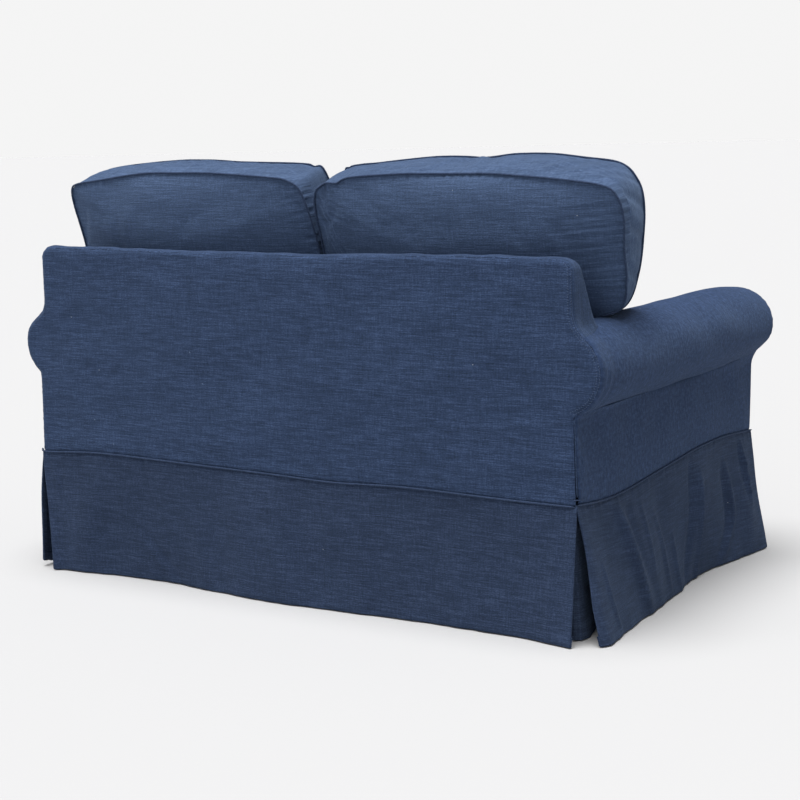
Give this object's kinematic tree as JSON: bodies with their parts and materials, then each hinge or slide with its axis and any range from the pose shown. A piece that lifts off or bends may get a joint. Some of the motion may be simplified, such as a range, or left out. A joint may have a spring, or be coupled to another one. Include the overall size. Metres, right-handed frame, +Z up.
{
  "type": "sofa slipcover",
  "caption": "Fitted loveseat cover in slubby woven cloth, with rolled arms, a skirt with open corner pleats and boxed, piped loose cushions.",
  "frame": {"origin": "on the floor, under the middle of the sofa that wears the cover", "axes": "+X across the sofa towards a sitter's left, +Y from its front to its back, +Z up"},
  "size_m": [1.4872, 0.991, 0.9577],
  "materials": {
    "body_cloth": "matt slubby linen-look weave, mid blue",
    "skirt_cloth": "matt slubby linen-look weave, mid blue, a little darker in shade",
    "cushion_cloth": "matt slubby linen-look weave, mid blue, over soft filling",
    "cord_cloth": "the same cloth cut on the bias round a cord, darker at its seam"
  },
  "bodies": {
    "root": {"outside_back": "body_cloth", "back_boxing": "body_cloth", "inside_back": "body_cloth", "arm_left": "body_cloth", "arm_right": "body_cloth", "outside_arm_left": "body_cloth", "outside_arm_right": "body_cloth", "arm_front_left": "body_cloth", "arm_front_right": "body_cloth", "seat_deck": "body_cloth", "front_band": "body_cloth", "skirt_back": "skirt_cloth", "skirt_front": "skirt_cloth", "skirt_left": "skirt_cloth", "skirt_right": "skirt_cloth", "pleat_insert_rear_left": "skirt_cloth", "pleat_insert_rear_right": "skirt_cloth", "pleat_insert_front_left": "skirt_cloth", "pleat_insert_front_right": "skirt_cloth", "welt_back": "cord_cloth", "welt_front": "cord_cloth", "welt_left": "cord_cloth", "welt_right": "cord_cloth", "back_cushion_left": "cushion_cloth", "back_cushion_right": "cushion_cloth", "seat_cushion_left": "cushion_cloth", "seat_cushion_right": "cushion_cloth", "back_cushion_left_front_welt": "cord_cloth", "back_cushion_left_rear_welt": "cord_cloth", "back_cushion_right_front_welt": "cord_cloth", "back_cushion_right_rear_welt": "cord_cloth", "seat_cushion_left_lower_welt": "cord_cloth", "seat_cushion_left_upper_welt": "cord_cloth", "seat_cushion_right_lower_welt": "cord_cloth", "seat_cushion_right_upper_welt": "cord_cloth"}
  },
  "joints": []
}
